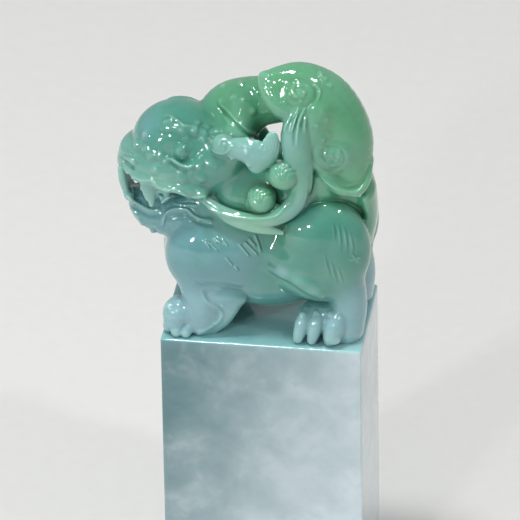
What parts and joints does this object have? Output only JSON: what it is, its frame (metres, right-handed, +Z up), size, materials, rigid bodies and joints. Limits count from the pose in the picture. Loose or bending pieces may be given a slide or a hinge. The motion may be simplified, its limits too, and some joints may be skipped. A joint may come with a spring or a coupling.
{
  "type": "carved jade seal figurine",
  "caption": "Carved jadeite seal: a crouching guardian lion-dog with an open mouth, curled mane and arching tail on top of a plain rectangular column.",
  "frame": {"origin": "middle of the column's flat printing face, which rests on the table", "axes": "+Z up along the column; the beast's head points to -X and its tail is at +X; its left side faces -Y"},
  "size_m": [0.038, 0.019, 0.0904],
  "materials": {
    "jade_green": "polished yellowish green jadeite, translucent, tail and mane",
    "jade_teal": "polished bluish green jadeite, translucent, head and body",
    "jade_pale": "polished pale grey-blue jadeite, translucent, jaw, chest, legs and paws",
    "jade_ice": "polished icy blue-grey jadeite with cloudy white mottling, the column"
  },
  "bodies": {
    "root": {"chest": "jade_pale", "crown": "jade_teal", "front_teeth": "jade_pale", "left_beard_lock": "jade_green", "left_brow": "jade_teal", "left_ear": "jade_pale", "left_ear_whorl": "jade_teal", "left_elbow_tuft": "jade_pale", "left_eye": "jade_teal", "left_fang": "jade_pale", "left_fore_paw": "jade_pale", "left_forearm": "jade_pale", "left_haunch": "jade_teal", "left_hind_paw": "jade_pale", "left_mane_curl_front": "jade_green", "left_mane_curl_rear": "jade_green", "left_mane_strand": "jade_teal", "left_shank": "jade_pale", "left_shoulder": "jade_teal", "lower_jaw": "jade_pale", "muzzle": "jade_teal", "neck": "jade_teal", "nose": "jade_teal", "right_beard_lock": "jade_green", "right_brow": "jade_teal", "right_ear": "jade_pale", "right_ear_whorl": "jade_teal", "right_elbow_tuft": "jade_pale", "right_eye": "jade_teal", "right_fang": "jade_pale", "right_fore_paw": "jade_pale", "right_forearm": "jade_pale", "right_haunch": "jade_teal", "right_hind_paw": "jade_pale", "right_mane_curl_front": "jade_green", "right_mane_curl_rear": "jade_green", "right_mane_strand": "jade_teal", "right_shank": "jade_pale", "right_shoulder": "jade_teal", "seal_block": "jade_ice", "skull": "jade_teal", "tail_arch": "jade_green", "tail_fan": "jade_green", "tail_root": "jade_green", "tail_side_curl": "jade_green", "tail_top_curl": "jade_green", "tongue": "jade_teal", "torso": "jade_teal"}
  },
  "joints": []
}
